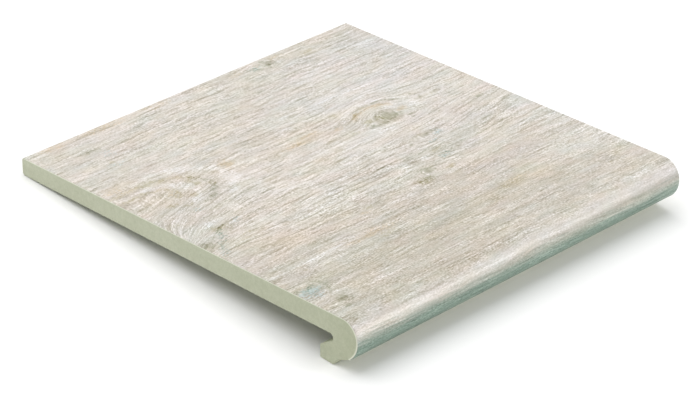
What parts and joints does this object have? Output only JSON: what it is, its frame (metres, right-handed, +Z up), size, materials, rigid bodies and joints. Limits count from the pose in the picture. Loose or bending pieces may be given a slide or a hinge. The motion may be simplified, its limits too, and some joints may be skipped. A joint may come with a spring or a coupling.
{
  "type": "stair tread tile",
  "caption": "Stoneware stair tread tile: flat slab with a rounded nose in front, a lip hooked back below it to key over the riser, and a limed-wood print on the walking surface.",
  "frame": {"origin": "on the floor under the middle of the footprint, with the tile lying unheld on the flat under its lip and on its back lower edge", "axes": "+X along the nose, +Y from the nose to the back edge, +Z up; the walking surface leans back 4.5 degrees because the lip holds the nose up"},
  "size_m": [0.317, 0.3298, 0.0386],
  "materials": {
    "stoneware": "satin"
  },
  "bodies": {
    "root": {"tread_tile": "stoneware"}
  },
  "joints": []
}
